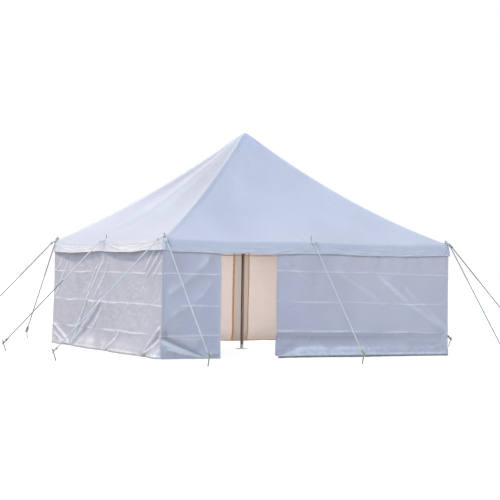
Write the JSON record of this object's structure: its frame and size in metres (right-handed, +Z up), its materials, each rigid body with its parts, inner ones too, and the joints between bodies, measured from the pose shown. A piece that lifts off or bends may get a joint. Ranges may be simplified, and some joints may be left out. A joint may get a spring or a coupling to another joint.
{
  "type": "marquee tent",
  "caption": "Square peg-and-pole marquee tent: pyramid fabric roof on a centre pole, hanging valance, curtain walls parted at a doorway, eave poles and guy ropes to ground stakes.",
  "frame": {"origin": "on the ground, under the centre pole", "axes": "+Z up; the side with the doorway faces -Y; +X runs to the right along that side, seen from outside"},
  "size_m": [10.0652, 10.0652, 4.387],
  "materials": {
    "roof_fabric": "smooth coated cloth, matt to satin",
    "wall_fabric": "creased coated cloth, matt",
    "pole_wood": "dark stained, worn",
    "galvanised_steel": "dull galvanised",
    "rope_fibre": "laid off-white rope"
  },
  "bodies": {
    "root": {"roof_front": "roof_fabric", "roof_right": "roof_fabric", "roof_back": "roof_fabric", "roof_left": "roof_fabric", "valance_front": "roof_fabric", "valance_right": "roof_fabric", "valance_back": "roof_fabric", "valance_left": "roof_fabric", "crown_cap": "roof_fabric", "wall_front_left": "wall_fabric", "wall_front_right": "wall_fabric", "wall_right": "wall_fabric", "wall_back_right": "wall_fabric", "wall_back_left": "wall_fabric", "wall_left": "wall_fabric", "centre_pole": "pole_wood", "centre_pole_head": "galvanised_steel", "centre_pole_foot": "galvanised_steel", "eave_pole_front_left": "pole_wood", "eave_pole_front_middle": "pole_wood", "eave_pole_front_right": "pole_wood", "eave_pole_right_middle": "pole_wood", "eave_pole_back_right": "pole_wood", "eave_pole_back_middle": "pole_wood", "eave_pole_back_left": "pole_wood", "eave_pole_left_middle": "pole_wood", "guy_rope_front_left": "rope_fibre", "guy_rope_front_middle": "rope_fibre", "guy_rope_front_right": "rope_fibre", "guy_rope_right_front": "rope_fibre", "guy_rope_right_middle": "rope_fibre", "guy_rope_right_back": "rope_fibre", "guy_rope_back_right": "rope_fibre", "guy_rope_back_middle": "rope_fibre", "guy_rope_back_left": "rope_fibre", "guy_rope_left_back": "rope_fibre", "guy_rope_left_middle": "rope_fibre", "guy_rope_left_front": "rope_fibre", "ground_stake_front_left": "galvanised_steel", "ground_stake_front_middle": "galvanised_steel", "ground_stake_front_right": "galvanised_steel", "ground_stake_right_front": "galvanised_steel", "ground_stake_right_middle": "galvanised_steel", "ground_stake_right_back": "galvanised_steel", "ground_stake_back_right": "galvanised_steel", "ground_stake_back_middle": "galvanised_steel", "ground_stake_back_left": "galvanised_steel", "ground_stake_left_back": "galvanised_steel", "ground_stake_left_middle": "galvanised_steel", "ground_stake_left_front": "galvanised_steel"}
  },
  "joints": []
}
